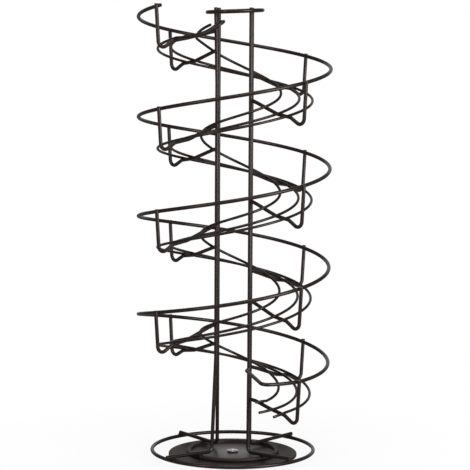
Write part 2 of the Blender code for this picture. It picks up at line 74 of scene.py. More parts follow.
# Base that stays still on the table
FOOT_HEIGHT = 0.0018
SHEET_THICKNESS = 0.001
PLATE_LIP_DROP = 0.0022
PLATE_EDGE_ROUND = 0.0008
PLATE_WELL_DEPTH = 0.001
PLATE_WELL_REACH = 0.001
WELL_SLOPE_RUN = 0.0015
WELL_ROUND = 0.0012
SHEET_EDGE_ROUND = 0.0002

# Pivot
SHANK_RADIUS = 0.0025
SHANK_BOTTOM = 0.0002
HEAD_HEIGHT = 0.0016
HEAD_EDGE_HEIGHT = 0.0007
HEAD_UNDERCUT = 0.0008
RECESS_REACH = 0.0026
RECESS_HALF_WIDTH = 0.00058
RECESS_DEPTH = 0.0009
RECESS_TAPER_SHARE = 0.55
RECESS_OVERRUN = 0.001
THRUST_WASHER_THICKNESS = 0.0005

# Turning dish
DISH_THICKNESS = 0.0007
DISH_RIM_WIDTH = 0.0042
DISH_RIM_HEIGHT = 0.0033
DISH_RIM_ROUND = 0.0013
DISH_SKIRT_CLEARANCE = 0.0006
DISH_WALL_RUN = 0.0001
DISH_FOOT_ROUND = 0.0005
DISH_OUTER_ROUND = 0.0019

# Column
POST_TOP_DROP = 0.0015
POST_END_ABOVE_RING = 0.0016
LEG_OVERHANG = 0.0018
FRONT_LEFT_LEG_OVERHANG = 0.006
BACK_LEFT_LEG_OVERHANG = 0.0001
LEG_RISE_ANGLE = 2.4
LEG_BEND_RADIUS = 0.005
SPLAY_HEIGHT = 0.094
FRONT_LEFT_SPLAY = (-0.0033, -0.0038)
FRONT_RIGHT_SPLAY = (-0.0003, -0.0036)
LEAN_DROP = 0.0678
FRONT_LEFT_LEAN = (-0.0015, 0.0016)
TOP_RING_TILT = -2.3

# Spiral channel
SUPPORT_STEP = 90
FIRST_SUPPORT_AZIMUTH = -45
SUPPORT_SWINGS = (2, 0, 0, -1.4, -0.3, -0.8, 0, -0.3, 1.4, 0.5, 0, 1, 2.1, 0.8, 0, 1.9)
LAST_TURN = SUPPORT_STEP * (len(SUPPORT_SWINGS) - 1)
RUN_OUT_TURN = 180
RUN_OUT_POWER = 4
GUARD_RUN_OUT_LIFT = 0.007
TRACK_RUN_OUT_LIFT = 0.0062
GUARD_START_TURN = 0.6
OUTER_PAIR_SHIFT = (0.0005, 0, 0)
INNER_RAIL_SHIFT = (0.0060, -0.0018, 0)
OUTER_RAIL_END_TURN = 1362
MIDDLE_RAIL_END_TURN = 1369.5
INNER_RAIL_START_TURN = -5
INNER_RAIL_END_TURN = 1369
INNER_START_SPREAD = 0.0043
INNER_SPREAD_TURNS = 45
MIDDLE_END_LIFT = 0.0026
INNER_END_LIFT = 0.0033
NOSE_TURN = -33
NOSE_SAG = 0.0065
NOSE_CURL_POWER = 3
OUTER_CURL = 0.0066
MIDDLE_CURL = 0.01
NOSE_LIFT = 0.0019

# Supports, as drops below the channel's own height and set-outs from rails
ROOT_DROP = 0.0181
FIRST_ROOT_DROP = 0.023
SHOULDER_SET_OUT = 0.0067
SHOULDER_DROP = 0.0201
KNEE_SET_IN = 0.003
SHELF_DROP = 0.0291
LAST_ROOT_DROP = 0.0246
LAST_SHOULDER_SET_OUT = 0.0087
LAST_SHOULDER_DROP = 0.025
LAST_KNEE_SET_IN = 0.0072
LAST_LIP_DROP = 0.0322
LIP_SET_OUT = 0.0013
LIP_DROP = 0.0315
LOOP_SET_OUT = 0.0003
LOOP_DROP = 0.0406
LOOP_BEND_RADIUS = 0.0055
SHELF_BEND_RADIUS = 0.009
LIP_BEND_RADIUS = 0.006
UPRIGHT_OVERRUN = 0.0018

# End of the guard rail
TAIL_LEAVE_TURN = 16
TAIL_RUN = 0.0142
TAIL_BEND_RADIUS = 0.0135
TAIL_RISE = 0.003
TAIL_HOOK_SET_LEFT = 0.0016
TAIL_HOOK_SET_FORWARD = 0.0105
TAIL_HOOK_BEND_RADIUS = 0.004
TAIL_END_AZIMUTH = 12

# Fineness
WIRE_SIDES = 20
BEND_STEPS = 9
NOSE_STEPS = 20
TURNED_STEPS = 160
SCREW_STEPS = 64
RING_STEPS = 180
ROUND_STEPS = 6
DOME_STEPS = 12
WELD_SEGMENTS = 12
WELD_RINGS = 8
END_SHARES = (0.12, 0.35, 0.65, 1)

# Finishes
SHEET_SMOOTH_ANGLE = 40
SCREW_SMOOTH_ANGLE = 35
BLOOM_START = 0.35
BLOOM_END = 0.85
COAT_RIPPLE = 0.000003
ZINC_RIPPLE = 0.000004
RUBBER_RIPPLE = 0.00002
NYLON_RIPPLE = 0.00001
ZINC_DULL_SHARE = 0.72
RUBBER_DUST_SHARE = 2.2
NYLON_WEAR_SHARE = 0.85

# Camera and stage
CAMERA_PLACE = (0.07667, -1.73089, 0.39661)
CAMERA_HEADING = 2.5
CAMERA_PITCH = 83.726
CAMERA_ROLL = 0.3266
CAMERA_LENS = 145.36
CAMERA_SENSOR = 36
FLOOR_HALF_SIZE = 6
FLOOR_ROUGHNESS = 0.9
FLOOR_GLOW_SHARE = 0.87
SHADOW_REACH = 0.1
SHADOW_FADE = 3
LAMP_TARGET = (0, 0, 0.2)

PLATE_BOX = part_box("base_plate")
DISH_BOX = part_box("swivel_dish")
BASE_RING_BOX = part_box("base_ring")
SCREW_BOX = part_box("pivot_screw")
BASE_RING_RADIUS = BASE_RING_BOX[1].x - WIRE_DIAMETER / 2


# Sizes and colours that a user can change

LENGTH = {"subtype": "DISTANCE"}
SHARE = {"min": 0, "max": 1, "subtype": "FACTOR"}
COLOUR = {"size": 3, "min": 0, "max": 1, "subtype": "COLOR"}
POWER = {"min": 0, "unit": "POWER"}


class RackSizes(bpy.types.PropertyGroup):
    """Main sizes of the rack."""

    wire_diameter: FloatProperty(
        name="Wire Diameter", default=WIRE_DIAMETER, **LENGTH,
        description="Thickness of the posts, supports, rings and guard rail",
    )
    rail_diameter: FloatProperty(
        name="Rail Diameter", default=0.0025, **LENGTH,
        description="Thickness of the three track rails",
    )
    guard_radius: FloatProperty(
        name="Guard Radius", default=0.0875, **LENGTH,
        description="Radius of the guard rail's spiral",
    )
    outer_rail_radius: FloatProperty(
        name="Outer Rail Radius", default=0.0705, **LENGTH,
        description="Radius of the outer track rail's spiral",
    )
    middle_rail_radius: FloatProperty(
        name="Middle Rail Radius", default=0.0585, **LENGTH,
        description="Radius of the middle track rail's spiral",
    )
    inner_rail_radius: FloatProperty(
        name="Inner Rail Radius", default=0.0363, **LENGTH,
        description="Radius of the inner track rail's spiral",
    )
    channel_top_height: FloatProperty(
        name="Channel Top", default=0.4151, **LENGTH,
        description="Height of the guard rail where the channel starts",
    )
    channel_end_height: FloatProperty(
        name="Channel End", default=0.075, **LENGTH,
        description="Height that the channel falls to at its last support",
    )
    post_half_spacing: FloatProperty(
        name="Post Half Spacing", default=0.0152, **LENGTH,
        description="Distance of each post from the column's middle planes",
    )
    base_ring_radius: FloatProperty(
        name="Base Ring Radius", default=BASE_RING_RADIUS, **LENGTH,
        description="Radius of the wire ring round the base",
    )
    plate_radius: FloatProperty(
        name="Plate Radius", default=PLATE_BOX[1].x, **LENGTH,
        description="Radius of the flat base plate",
    )
    dish_radius: FloatProperty(
        name="Dish Radius", default=DISH_BOX[1].x, **LENGTH,
        description="Radius of the turning dish",
    )
    head_radius: FloatProperty(
        name="Screw Head Radius", default=SCREW_BOX[1].x, **LENGTH,
        description="Radius of the pivot screw's head",
    )
    end_round: FloatProperty(
        name="End Round", default=END_ROUND, **LENGTH,
        description="How far the coating rounds the cut ends of the wires",
    )
    weld_spread: FloatProperty(
        name="Weld Spread", default=0.0019, **LENGTH,
        description="Half length of a weld along its wires",
    )
    weld_height: FloatProperty(
        name="Weld Height", default=0.0010, **LENGTH,
        description="Half height of a weld across its joint",
    )
    wire_sides: IntProperty(
        name="Wire Sides", default=WIRE_SIDES, min=6,
        description="Number of faces round a wire",
    )
    points_per_turn: IntProperty(
        name="Points per Turn", default=120, min=24,
        description="Number of points in one turn of a spiral",
    )


class RackFinish(bpy.types.PropertyGroup):
    """Colours and gloss of the rack and its stage."""

    coat_colour: FloatVectorProperty(
        name="Coat Colour", default=(0.0125, 0.0080, 0.0066), **COLOUR,
        description="Colour of the baked powder coat",
    )
    coat_bloom: FloatVectorProperty(
        name="Coat Bloom", default=(0.0185, 0.0120, 0.0100), **COLOUR,
        description="Paler colour that the powder coat drifts to in patches",
    )
    # Partly painted reflection: this warm tint on the coat's mirrored light also stands
    # in for the reflection of brown eggs that are not built.
    coat_sheen_and_painted_reflection: FloatVectorProperty(
        name="Coat Sheen", default=(1, 0.87, 0.83), **COLOUR,
        description="Tint of the light that the powder coat mirrors",
    )
    wire_roughness: FloatProperty(
        name="Wire Roughness", default=0.3, **SHARE,
        description="Roughness of the coat on the wires",
    )
    sheet_roughness: FloatProperty(
        name="Sheet Roughness", default=0.18, **SHARE,
        description="Roughness of the coat in the middle of the plate and dish",
    )
    edge_dulling: FloatProperty(
        name="Edge Dulling", default=0.35, **SHARE,
        description="Roughness that the coat gains towards the rim of the dish",
    )
    grain_size: FloatProperty(
        name="Grain Size", default=0.0007, **LENGTH,
        description="Width of the fine ripples in the powder coat",
    )
    steel_colour: FloatVectorProperty(
        name="Steel Colour", default=(0.88, 0.88, 0.92), **COLOUR,
        description="Colour of the zinc-plated screw",
    )
    rubber_colour: FloatVectorProperty(
        name="Rubber Colour", default=(0.020, 0.020, 0.020), **COLOUR,
        description="Colour of the feet",
    )
    nylon_colour: FloatVectorProperty(
        name="Nylon Colour", default=(0.78, 0.77, 0.72), **COLOUR,
        description="Colour of the washer that the dish turns on",
    )
    floor_colour: FloatVectorProperty(
        name="Floor Colour", default=(0.93, 0.93, 0.93), **COLOUR,
        description="Colour of the floor",
    )
    room_light: FloatProperty(
        name="Room Light", default=0.45, min=0,
        description="Even light that falls on the rack from all round",
    )
    reflected_room: FloatProperty(
        name="Reflected Room", default=0.1, **SHARE,
        description="Brightness of the white room where the coat reflects it",
    )
    reflected_floor: FloatProperty(
        name="Reflected Floor", default=0.25, **SHARE,
        description="Share of the floor's colour that the coat reflects",
    )
    left_power: FloatProperty(
        name="Left Strip", default=5, **POWER,
        description="Power of the tall strip of light in front on the left",
    )
    right_power: FloatProperty(
        name="Right Box", default=13, **POWER,
        description="Power of the broad box of light in front on the right",
    )
    front_power: FloatProperty(
        name="Front Lamp", default=5.5, **POWER,
        description="Power of the lamp high up in front",
    )
    top_power: FloatProperty(
        name="Top Lamp", default=6.3, **POWER,
        description="Power of the lamp overhead",
    )
    wall_power: FloatProperty(
        name="Wall Lamp", default=7.5, **POWER,
        description="Power of the pale wall of light behind the rack",
    )


# Paths


def plan_direction(azimuth):
    """Unit vector in plan, azimuth in degrees from the front to the right."""
    angle = math.radians(azimuth)
    return Vector((math.sin(angle), -math.cos(angle), 0))


def turn_direction(turn):
    return plan_direction(FIRST_SUPPORT_AZIMUTH - turn)


def bent_path(corners, radii, steps):
    """Straight runs between corners, with each inner corner on an arc.

    An arc is drawn in where a run is too short for its radius.
    """
    corners = [Vector(corner) for corner in corners]
    points = [corners[0]]
    for index in range(1, len(corners) - 1):
        corner = corners[index]
        run_in = corner - corners[index - 1]
        run_out = corners[index + 1] - corner
        room = min(run_in.length, run_out.length) / 2
        ahead = run_in.normalized()
        after = run_out.normalized()
        angle = ahead.angle(after)
        setback = min(radii[index - 1] * math.tan(angle / 2), room)
        radius = setback / math.tan(angle / 2)
        inward = (after - ahead * ahead.dot(after)).normalized()
        centre = corner - ahead * setback + inward * radius
        for step in range(steps + 1):
            share = angle * step / steps
            points.append(
                centre
                + (ahead * math.sin(share) - inward * math.cos(share)) * radius
            )
    points.append(corners[-1])
    return points


def turns_between(start, end, points_per_turn):
    """Turn angles from start to end, with the points on whole steps."""
    step = 360 / points_per_turn
    first = math.floor(start / step) + 1
    last = math.ceil(end / step) - 1
    inner = [step * index for index in range(first, last + 1)]
    return [start] + inner + [end]


def with_round_ends(points, reach):
    """Adds points near both ends, where the coating rounds the cut."""
    head = (points[1] - points[0]).normalized() * reach
    tail = (points[-2] - points[-1]).normalized() * reach
    start = [points[0] + head * share for share in END_SHARES]
    end = [points[-1] + tail * share for share in reversed(END_SHARES)]
    return [points[0]] + start + points[1:-1] + end + [points[-1]]


# Heights of the channel


def run_out_share(turn):
    """How much of the run-out lift is reached at a turn angle."""
    share = (turn - (LAST_TURN - RUN_OUT_TURN)) / RUN_OUT_TURN
    return min(max(share, 0), 1) ** RUN_OUT_POWER


def channel_height(sizes, turn, run_out_lift):
    fall = (sizes.channel_top_height - sizes.channel_end_height) * turn / LAST_TURN
    return sizes.channel_top_height - fall + run_out_lift * run_out_share(turn)


def guard_height(sizes, turn):
    return channel_height(sizes, min(turn, LAST_TURN), GUARD_RUN_OUT_LIFT)


def track_height(sizes, turn):
    return channel_height(sizes, turn, TRACK_RUN_OUT_LIFT)


# Heights of the base stack


def base_heights(sizes):
    """Heights from the table up, as the frame has them."""
    plate_underside = FOOT_HEIGHT + WELD_GAP
    plate_top = plate_underside + SHEET_THICKNESS
    well_top = plate_top - PLATE_WELL_DEPTH
    dish_underside = well_top + WELD_GAP + THRUST_WASHER_THICKNESS + WELD_GAP
    rim_top = plate_top + DISH_RIM_HEIGHT
    return {
        "plate_underside": plate_underside,
        "plate_top": plate_top,
        "well_top": well_top,
        "dish_underside": dish_underside,
        "dish_floor": dish_underside + DISH_THICKNESS,
        "rim_top": rim_top,
        "head_bottom": dish_underside + DISH_THICKNESS + RUNNING_CLEARANCE,
        "leg_seat": rim_top + WELD_GAP + sizes.wire_diameter / 2,
    }


def leg_height(sizes, radius):
    """Height of the legs' centre lines, which rise from the dish to the ring."""
    seat_radius = sizes.dish_radius - DISH_RIM_WIDTH / 2
    rise = math.tan(math.radians(LEG_RISE_ANGLE)) * (radius - seat_radius)
    return base_heights(sizes)["leg_seat"] + rise


# The column


def post_values(side_x, side_y, overhang, splay=(0, 0), lean=(0, 0)):
    sides = (side_x, side_y)
    return {"sides": sides, "overhang": overhang, "splay": splay, "lean": lean}


POSTS = {
    "post_front_left": post_values(
        -1, -1, FRONT_LEFT_LEG_OVERHANG, FRONT_LEFT_SPLAY, FRONT_LEFT_LEAN
    ),
    "post_front_right": post_values(1, -1, LEG_OVERHANG, FRONT_RIGHT_SPLAY),
    "post_back_left": post_values(-1, 1, BACK_LEFT_LEG_OVERHANG),
    "post_back_right": post_values(1, 1, LEG_OVERHANG),
}


def post_circle_radius(sizes):
    return math.hypot(sizes.post_half_spacing, sizes.post_half_spacing)


def post_axis(sizes, post, height):
    """Place of a post's centre line in plan at a height."""
    foot = leg_height(sizes, post_circle_radius(sizes))
    top = sizes.channel_top_height - POST_TOP_DROP
    splay = (SPLAY_HEIGHT - height) / (SPLAY_HEIGHT - foot)
    lean = (height - (top - LEAN_DROP)) / LEAN_DROP
    place = Vector((*post["sides"], 0)) * sizes.post_half_spacing
    place += Vector((*post["splay"], 0)) * min(max(splay, 0), 1)
    place += Vector((*post["lean"], 0)) * min(max(lean, 0), 1)
    return place


def post_for(turn):
    """The post that a support at this turn angle grows from."""
    direction = turn_direction(turn)
    for post in POSTS.values():
        side_x, side_y = post["sides"]
        if side_x * direction.x > 0 and side_y * direction.y > 0:
            return post
    raise ValueError("no post stands in this direction")


def post_path(sizes, post):
    """Down the post, round the bend at its foot and out along its leg."""
    outwards = Vector((*post["sides"], 0)).normalized()
    top = sizes.channel_top_height - POST_TOP_DROP
    heights = [top]
    if any(post["lean"]):
        heights.append(top - LEAN_DROP)
    if any(post["splay"]):
        heights.append(SPLAY_HEIGHT)
    shaft = [
        post_axis(sizes, post, height) + Vector((0, 0, height)) for height in heights
    ]
    foot_height = leg_height(sizes, post_circle_radius(sizes))
    foot = post_axis(sizes, post, foot_height) + Vector((0, 0, foot_height))
    reach = sizes.base_ring_radius + post["overhang"]
    leg_end = outwards * reach + Vector((0, 0, leg_height(sizes, reach)))
    bend = bent_path([shaft[-1], foot, leg_end], [LEG_BEND_RADIUS], BEND_STEPS)
    return shaft[:-1] + bend


# The supports


def support_corners(sizes, turn, kind):
    """Corners of a support in its own (radius, height) plane.

    The first and last supports are flatter, and the first has no shoulder.
    """
    last = kind == "last"
    root_drop = LAST_ROOT_DROP if last else ROOT_DROP
    shoulder_drop = LAST_SHOULDER_DROP if last else SHOULDER_DROP
    lip_drop = LAST_LIP_DROP if last else LIP_DROP
    shoulder_set_out = LAST_SHOULDER_SET_OUT if last else SHOULDER_SET_OUT
    wire = sizes.wire_diameter
    shoulder = post_circle_radius(sizes) + wire / 2 + shoulder_set_out
    knee = sizes.middle_rail_radius - (LAST_KNEE_SET_IN if last else KNEE_SET_IN)
    upright = sizes.guard_radius + wire - UPRIGHT_SINK
    level = track_height(sizes, turn) + SUPPORT_LIFT
    bends = [(shoulder, level - shoulder_drop), (knee, level - SHELF_DROP)]
    if kind == "first":
        root_drop = FIRST_ROOT_DROP
        bends = bends[1:]
    run = bends[0][0] - post_circle_radius(sizes) - wire / 2
    tilt = math.atan((level - root_drop - bends[0][1]) / run)
    post = post_axis(sizes, post_for(turn), level - root_drop)
    root = post.dot(turn_direction(turn)) + wire / 2 * (1 + math.sin(tilt)) - WELD_SINK
    return [
        (root, level - root_drop),
        *bends,
        (sizes.outer_rail_radius + LIP_SET_OUT, level - lip_drop),
        (sizes.guard_radius + LOOP_SET_OUT, level - LOOP_DROP),
        (upright, guard_height(sizes, turn) + UPRIGHT_OVERRUN),
    ]


def support_path(sizes, turn, kind):
    """Bent centre line of a support in its (radius, height) plane."""
    corners = support_corners(sizes, turn, kind)
    radii = [SHELF_BEND_RADIUS, SHELF_BEND_RADIUS, LIP_BEND_RADIUS, LOOP_BEND_RADIUS]
    return bent_path(corners, radii[len(radii) - len(corners) + 2:], BEND_STEPS)


def support_kinds():
    """Name, turn angle and kind of each support, from the top down."""
    kinds = ["plain"] * len(SUPPORT_SWINGS)
    kinds[0] = "first"
    kinds[-1] = "last"
    return [
        ("support_%02d" % (index + 1), SUPPORT_STEP * index + swing, kind)
        for index, (kind, swing) in enumerate(zip(kinds, SUPPORT_SWINGS))
    ]


# The rails


def shelf(sizes, turn, kind, radius):
    """Height and slope of a support's centre line at a radius."""
    path = support_path(sizes, turn, kind)
    for near, far in zip(path, path[1:]):
        if near.x <= radius <= far.x:
            slope = (far.y - near.y) / (far.x - near.x)
            height = near.y + slope * (radius - near.x)
            return height - track_height(sizes, turn), slope
    raise ValueError("a rail lies outside the supports")


def seat(sizes, turn, radius, shelves):
    """Height and slope of a rail's centre line where it lies on the supports."""
    share = min(max((turn - (LAST_TURN - SUPPORT_STEP)) / SUPPORT_STEP, 0), 1)
    (plain, plain_slope), (last, last_slope) = shelves
    drop = plain + (last - plain) * share
    slope = plain_slope + (last_slope - plain_slope) * share
    pitch = (sizes.channel_top_height - sizes.channel_end_height) * 360 / LAST_TURN
    fall = pitch / (2 * math.pi * radius)
    reach = (sizes.wire_diameter + sizes.rail_diameter) / 2 - RAIL_SINK
    lift = reach * math.sqrt(1 + slope ** 2 + fall ** 2)
    return track_height(sizes, turn) + drop + lift, slope


def shelves_at(sizes, radius):
    """The plain and the last support's shelf at a radius."""
    plain = shelf(sizes, SUPPORT_STEP, "plain", radius)
    return plain, shelf(sizes, LAST_TURN, "last", radius)


def rail_point(sizes, turn, radius, shift):
    """A point of a rail whose spiral is centred at a shift from the axis."""
    place = turn_direction(turn) * radius + shift
    azimuth = math.degrees(math.atan2(place.x, -place.y))
    own = FIRST_SUPPORT_AZIMUTH - azimuth
    own += 360 * round((turn - own) / 360)
    distance = math.hypot(place.x, place.y)
    height = seat(sizes, own, distance, shelves_at(sizes, distance))[0]
    return Vector((place.x, place.y, height))


def pair_point(sizes, turn, radius, curl):
    """A point of the outer or middle rail.

    Above the first support the two sag a little, then curl up to the nose,
    the middle rail more than the outer one.
    """
    point = rail_point(sizes, turn, radius, Vector(OUTER_PAIR_SHIFT))
    share = max(turn / NOSE_TURN, 0)
    point.z += curl * share ** NOSE_CURL_POWER - NOSE_SAG * share
    return point


def end_lift(turn, end_turn, lift):
    """How far a rail's free end rises past the last support."""
    share = max((turn - LAST_TURN) / (end_turn - LAST_TURN), 0)
    return Vector((0, 0, lift * share))


def inner_point(sizes, turn):
    """A point of the inner rail, which starts a little wider."""
    share = min(max(2 - turn / INNER_SPREAD_TURNS, 0), 1)
    radius = sizes.inner_rail_radius + INNER_START_SPREAD * share ** 2
    point = rail_point(sizes, turn, radius, Vector(INNER_RAIL_SHIFT))
    return point + end_lift(turn, INNER_RAIL_END_TURN, INNER_END_LIFT)


def nose(sizes):
    """The bend that joins the outer to the middle rail at the top."""
    inner = pair_point(sizes, NOSE_TURN, sizes.middle_rail_radius, MIDDLE_CURL)
    outer = pair_point(sizes, NOSE_TURN, sizes.outer_rail_radius, OUTER_CURL)
    centre = (inner + outer) / 2
    radius = (sizes.outer_rail_radius - sizes.middle_rail_radius) / 2
    outwards = turn_direction(NOSE_TURN)
    ahead = turn_direction(NOSE_TURN - 90)
    points = []
    for step in range(1, NOSE_STEPS):
        angle = math.radians(180 * step / NOSE_STEPS)
        place = centre + (outwards * math.cos(angle) + ahead * math.sin(angle)) * radius
        place.z = outer.z + (inner.z - outer.z) * math.sin(angle / 2)
        place.z += NOSE_LIFT * math.sin(angle)
        points.append(place)
    return points


def guard_point(sizes, turn):
    height = Vector((0, 0, guard_height(sizes, turn)))
    return turn_direction(turn) * sizes.guard_radius + height


def guard_tail(sizes):
    """The rail leaves the spiral, bends in and ends against a post."""
    leave_turn = LAST_TURN + TAIL_LEAVE_TURN
    leave = guard_point(sizes, leave_turn)
    ahead = turn_direction(leave_turn + 90)
    post = post_axis(sizes, POSTS["post_front_right"], leave.z + TAIL_RISE)
    hook = post - Vector((TAIL_HOOK_SET_LEFT, TAIL_HOOK_SET_FORWARD, 0))
    end_reach = (sizes.wire_diameter - WELD_SINK) / 2
    end = post + plan_direction(TAIL_END_AZIMUTH) * end_reach
    leave_plan = Vector((leave.x, leave.y, 0))
    corners = [leave_plan, leave_plan + ahead * TAIL_RUN, hook, end]
    path = bent_path(corners, [TAIL_BEND_RADIUS, TAIL_HOOK_BEND_RADIUS], BEND_STEPS)
    lengths = [0]
    for near, far in zip(path, path[1:]):
        lengths.append(lengths[-1] + (far - near).length)
    for point, length in zip(path, lengths):
        point.z = leave.z + TAIL_RISE * length / lengths[-1]
    return path


# Node trees


def new_tree(name, tree_type, inputs, outputs):
    """A node tree, its inputs given as (name, kind, default), and its two ends."""
    tree = bpy.data.node_groups.new(name, tree_type)
    for label, kind, default in inputs:
        socket = tree.interface.new_socket(
            label, socket_type="NodeSocket" + kind, in_out="INPUT"
        )
        if default is not None:
            socket.default_value = default
    for label, kind in outputs:
        tree.interface.new_socket(
            label, socket_type="NodeSocket" + kind, in_out="OUTPUT"
        )
    entry = tree.nodes.new("NodeGroupInput")
    return tree, entry.outputs, tree.nodes.new("NodeGroupOutput").inputs


def fill(tree, node, inputs):
    """Sets a node's inputs, each to another socket or to a plain value."""
    for label, value in inputs.items():
        if isinstance(value, bpy.types.NodeSocket):
            tree.links.new(value, node.inputs[label])
        else:
            node.inputs[label].default_value = value


def add_node(tree, kind, inputs=None, **choices):
    """A new node with its choices made and its inputs filled."""
    node = tree.nodes.new(kind)
    for label, value in choices.items():
        setattr(node, label, value)
    fill(tree, node, inputs or {})
    return node


def math_node(tree, operation, first, second=None, clamp=False):
    """The result of a Math node, from other sockets or plain numbers."""
    inputs = {0: first} if second is None else {0: first, 1: second}
    node = add_node(
        tree, "ShaderNodeMath", inputs, operation=operation, use_clamp=clamp
    )
    return node.outputs[0]


def close_tree(tree, geometry, material, end):
    """Ends a tree with real geometry in its material."""
    realize = add_node(tree, "GeometryNodeRealizeInstances", {"Geometry": geometry})
    finish = add_node(tree, "GeometryNodeSetMaterial", {
        "Geometry": realize.outputs["Geometry"],
        "Material": material,
    })
    tree.links.new(finish.outputs["Geometry"], end)


def wire_tree():
    """Sweeps a round wire along the edges of a path, with rounded ends."""
    name = "Rack Wire"
    if name in bpy.data.node_groups:
        return bpy.data.node_groups[name]
    tree, given, leave = new_tree(
        name,
        "GeometryNodeTree",
        [
            ("Path", "Geometry", None),
            ("Diameter", "Float", WIRE_DIAMETER),
            ("Sides", "Int", WIRE_SIDES),
            ("End Round", "Float", END_ROUND),
            ("Material", "Material", None),
        ],
        [("Wire", "Geometry")],
    )
    curve = add_node(tree, "GeometryNodeMeshToCurve", {"Mesh": given["Path"]})
    along = add_node(tree, "GeometryNodeSplineParameter").outputs["Length"]
    whole = add_node(tree, "GeometryNodeSplineLength").outputs["Length"]
    radius = math_node(tree, "DIVIDE", given["Diameter"], 2)
    left = math_node(tree, "SUBTRACT", whole, along)
    nearest = math_node(tree, "MINIMUM", along, left)
    reached = math_node(tree, "DIVIDE", nearest, given["End Round"], clamp=True)
    missing = math_node(tree, "SUBTRACT", 1, reached)
    square = math_node(tree, "MULTIPLY", missing, missing)
    rest = math_node(tree, "SUBTRACT", 1, square, clamp=True)
    shy = math_node(tree, "SUBTRACT", 1, math_node(tree, "SQRT", rest))
    share = math_node(tree, "DIVIDE", given["End Round"], radius)
    loss = math_node(tree, "MULTIPLY", shy, share)
    circle = add_node(tree, "GeometryNodeCurvePrimitiveCircle", {
        "Resolution": given["Sides"],
        "Radius": radius,
    })
    sweep = add_node(tree, "GeometryNodeCurveToMesh", {
        "Curve": curve.outputs["Curve"],
        "Profile Curve": circle.outputs["Curve"],
        "Scale": math_node(tree, "SUBTRACT", 1, loss),
        "Fill Caps": True,
    })
    smooth = add_node(
        tree, "GeometryNodeSetShadeSmooth", {"Geometry": sweep.outputs["Mesh"]}
    )
    close_tree(tree, smooth.outputs["Geometry"], given["Material"], leave["Wire"])
    return tree


def weld_tree():
    """Puts a smooth weld on each point, turned and sized by its attributes."""
    name = "Rack Welds"
    if name in bpy.data.node_groups:
        return bpy.data.node_groups[name]
    tree, given, leave = new_tree(
        name,
        "GeometryNodeTree",
        [
            ("Joints", "Geometry", None),
            ("Segments", "Int", WELD_SEGMENTS),
            ("Rings", "Int", WELD_RINGS),
            ("Material", "Material", None),
        ],
        [("Welds", "Geometry")],
    )
    ball = add_node(tree, "GeometryNodeMeshUVSphere", {
        "Segments": given["Segments"],
        "Rings": given["Rings"],
        "Radius": 1,
    })
    smooth = add_node(
        tree, "GeometryNodeSetShadeSmooth", {"Geometry": ball.outputs["Mesh"]}
    )
    facing, half_size = (
        add_node(
            tree,
            "GeometryNodeInputNamedAttribute",
            {"Name": label},
            data_type="FLOAT_VECTOR",
        ).outputs["Attribute"]
        for label in ("facing", "half_size")
    )
    rotation = add_node(tree, "FunctionNodeEulerToRotation", {"Euler": facing})
    place = add_node(tree, "GeometryNodeInstanceOnPoints", {
        "Points": given["Joints"],
        "Instance": smooth.outputs["Geometry"],
        "Rotation": rotation.outputs["Rotation"],
        "Scale": half_size,
    })
    close_tree(tree, place.outputs["Instances"], given["Material"], leave["Welds"])
    return tree


def placed(name, data):
    """A new object in the scene."""
    item = bpy.data.objects.new(name, data)
    bpy.context.scene.collection.objects.link(item)
    return item


def settle(item, modifier):
    """Gives an object the plain mesh that its only modifier makes."""
    depsgraph = bpy.context.evaluated_depsgraph_get()
    finished = bpy.data.meshes.new_from_object(item.evaluated_get(depsgraph))
    finished.name = item.name
    item.modifiers.remove(modifier)
    item.data = finished
    return finished


def grown(name, mesh, tree, values):
    """Runs a tree on a mesh and returns an object with the plain result."""
    item = placed(name, mesh)
    modifier = item.modifiers.new(tree.name, "NODES")
    modifier.node_group = tree
    for socket in tree.interface.items_tree:
        if socket.item_type == "SOCKET" and socket.name in values:
            modifier[socket.identifier] = values[socket.name]
    settle(item, modifier)
    bpy.data.meshes.remove(mesh)
    return item


# Materials


def grain_group():
    """Drifting colour and gloss, and a fine ripple, for every finish."""
    name = "Rack Grain"
    if name in bpy.data.node_groups:
        return bpy.data.node_groups[name]
    tree, given, leave = new_tree(
        name,
        "ShaderNodeTree",
        [
            ("Colour", "Color", None),
            ("Bloom", "Color", None),
            ("Roughness", "Float", 0.4),
            ("Roughness Drift", "Float", 0.05),
            ("Drift Size", "Float", 0.02),
            ("Grain Size", "Float", 0.0007),
            ("Speckle", "Float", 0.3),
            ("Shine Reach", "Float", 1),
            ("Dulling", "Float", 0),
        ],
        [("Colour", "Color"), ("Roughness", "Float"), ("Height", "Float")],
    )
    place = add_node(tree, "ShaderNodeTexCoord").outputs["Object"]
    drift, grain = (
        add_node(tree, "ShaderNodeTexNoise", {
            "Vector": place,
            "Scale": math_node(tree, "DIVIDE", 1, given[label]),
            "Detail": detail,
        }).outputs["Fac"]
        for label, detail in (("Drift Size", 3), ("Grain Size", 1))
    )
    speckle = math_node(tree, "MULTIPLY", grain, given["Speckle"])
    spread = add_node(tree, "ShaderNodeMapRange", {
        "Value": math_node(tree, "ADD", drift, speckle),
        "From Min": BLOOM_START,
        "From Max": BLOOM_END,
    })
    blend = add_node(tree, "ShaderNodeMix", {
        "Factor": spread.outputs["Result"],
        "A": given["Colour"],
        "B": given["Bloom"],
    }, data_type="RGBA")
    centred = math_node(tree, "SUBTRACT", drift, 0.5)
    swing = math_node(tree, "MULTIPLY", centred, given["Roughness Drift"])
    gloss = math_node(tree, "ADD", given["Roughness"], swing)
    away = add_node(tree, "ShaderNodeVectorMath", {0: place}, operation="LENGTH")
    reached = math_node(
        tree, "DIVIDE", away.outputs["Value"], given["Shine Reach"], clamp=True
    )
    dull = math_node(tree, "MULTIPLY", reached, given["Dulling"])
    tree.links.new(blend.outputs["Result"], leave["Colour"])
    tree.links.new(math_node(tree, "ADD", gloss, dull), leave["Roughness"])
    tree.links.new(grain, leave["Height"])
    return tree


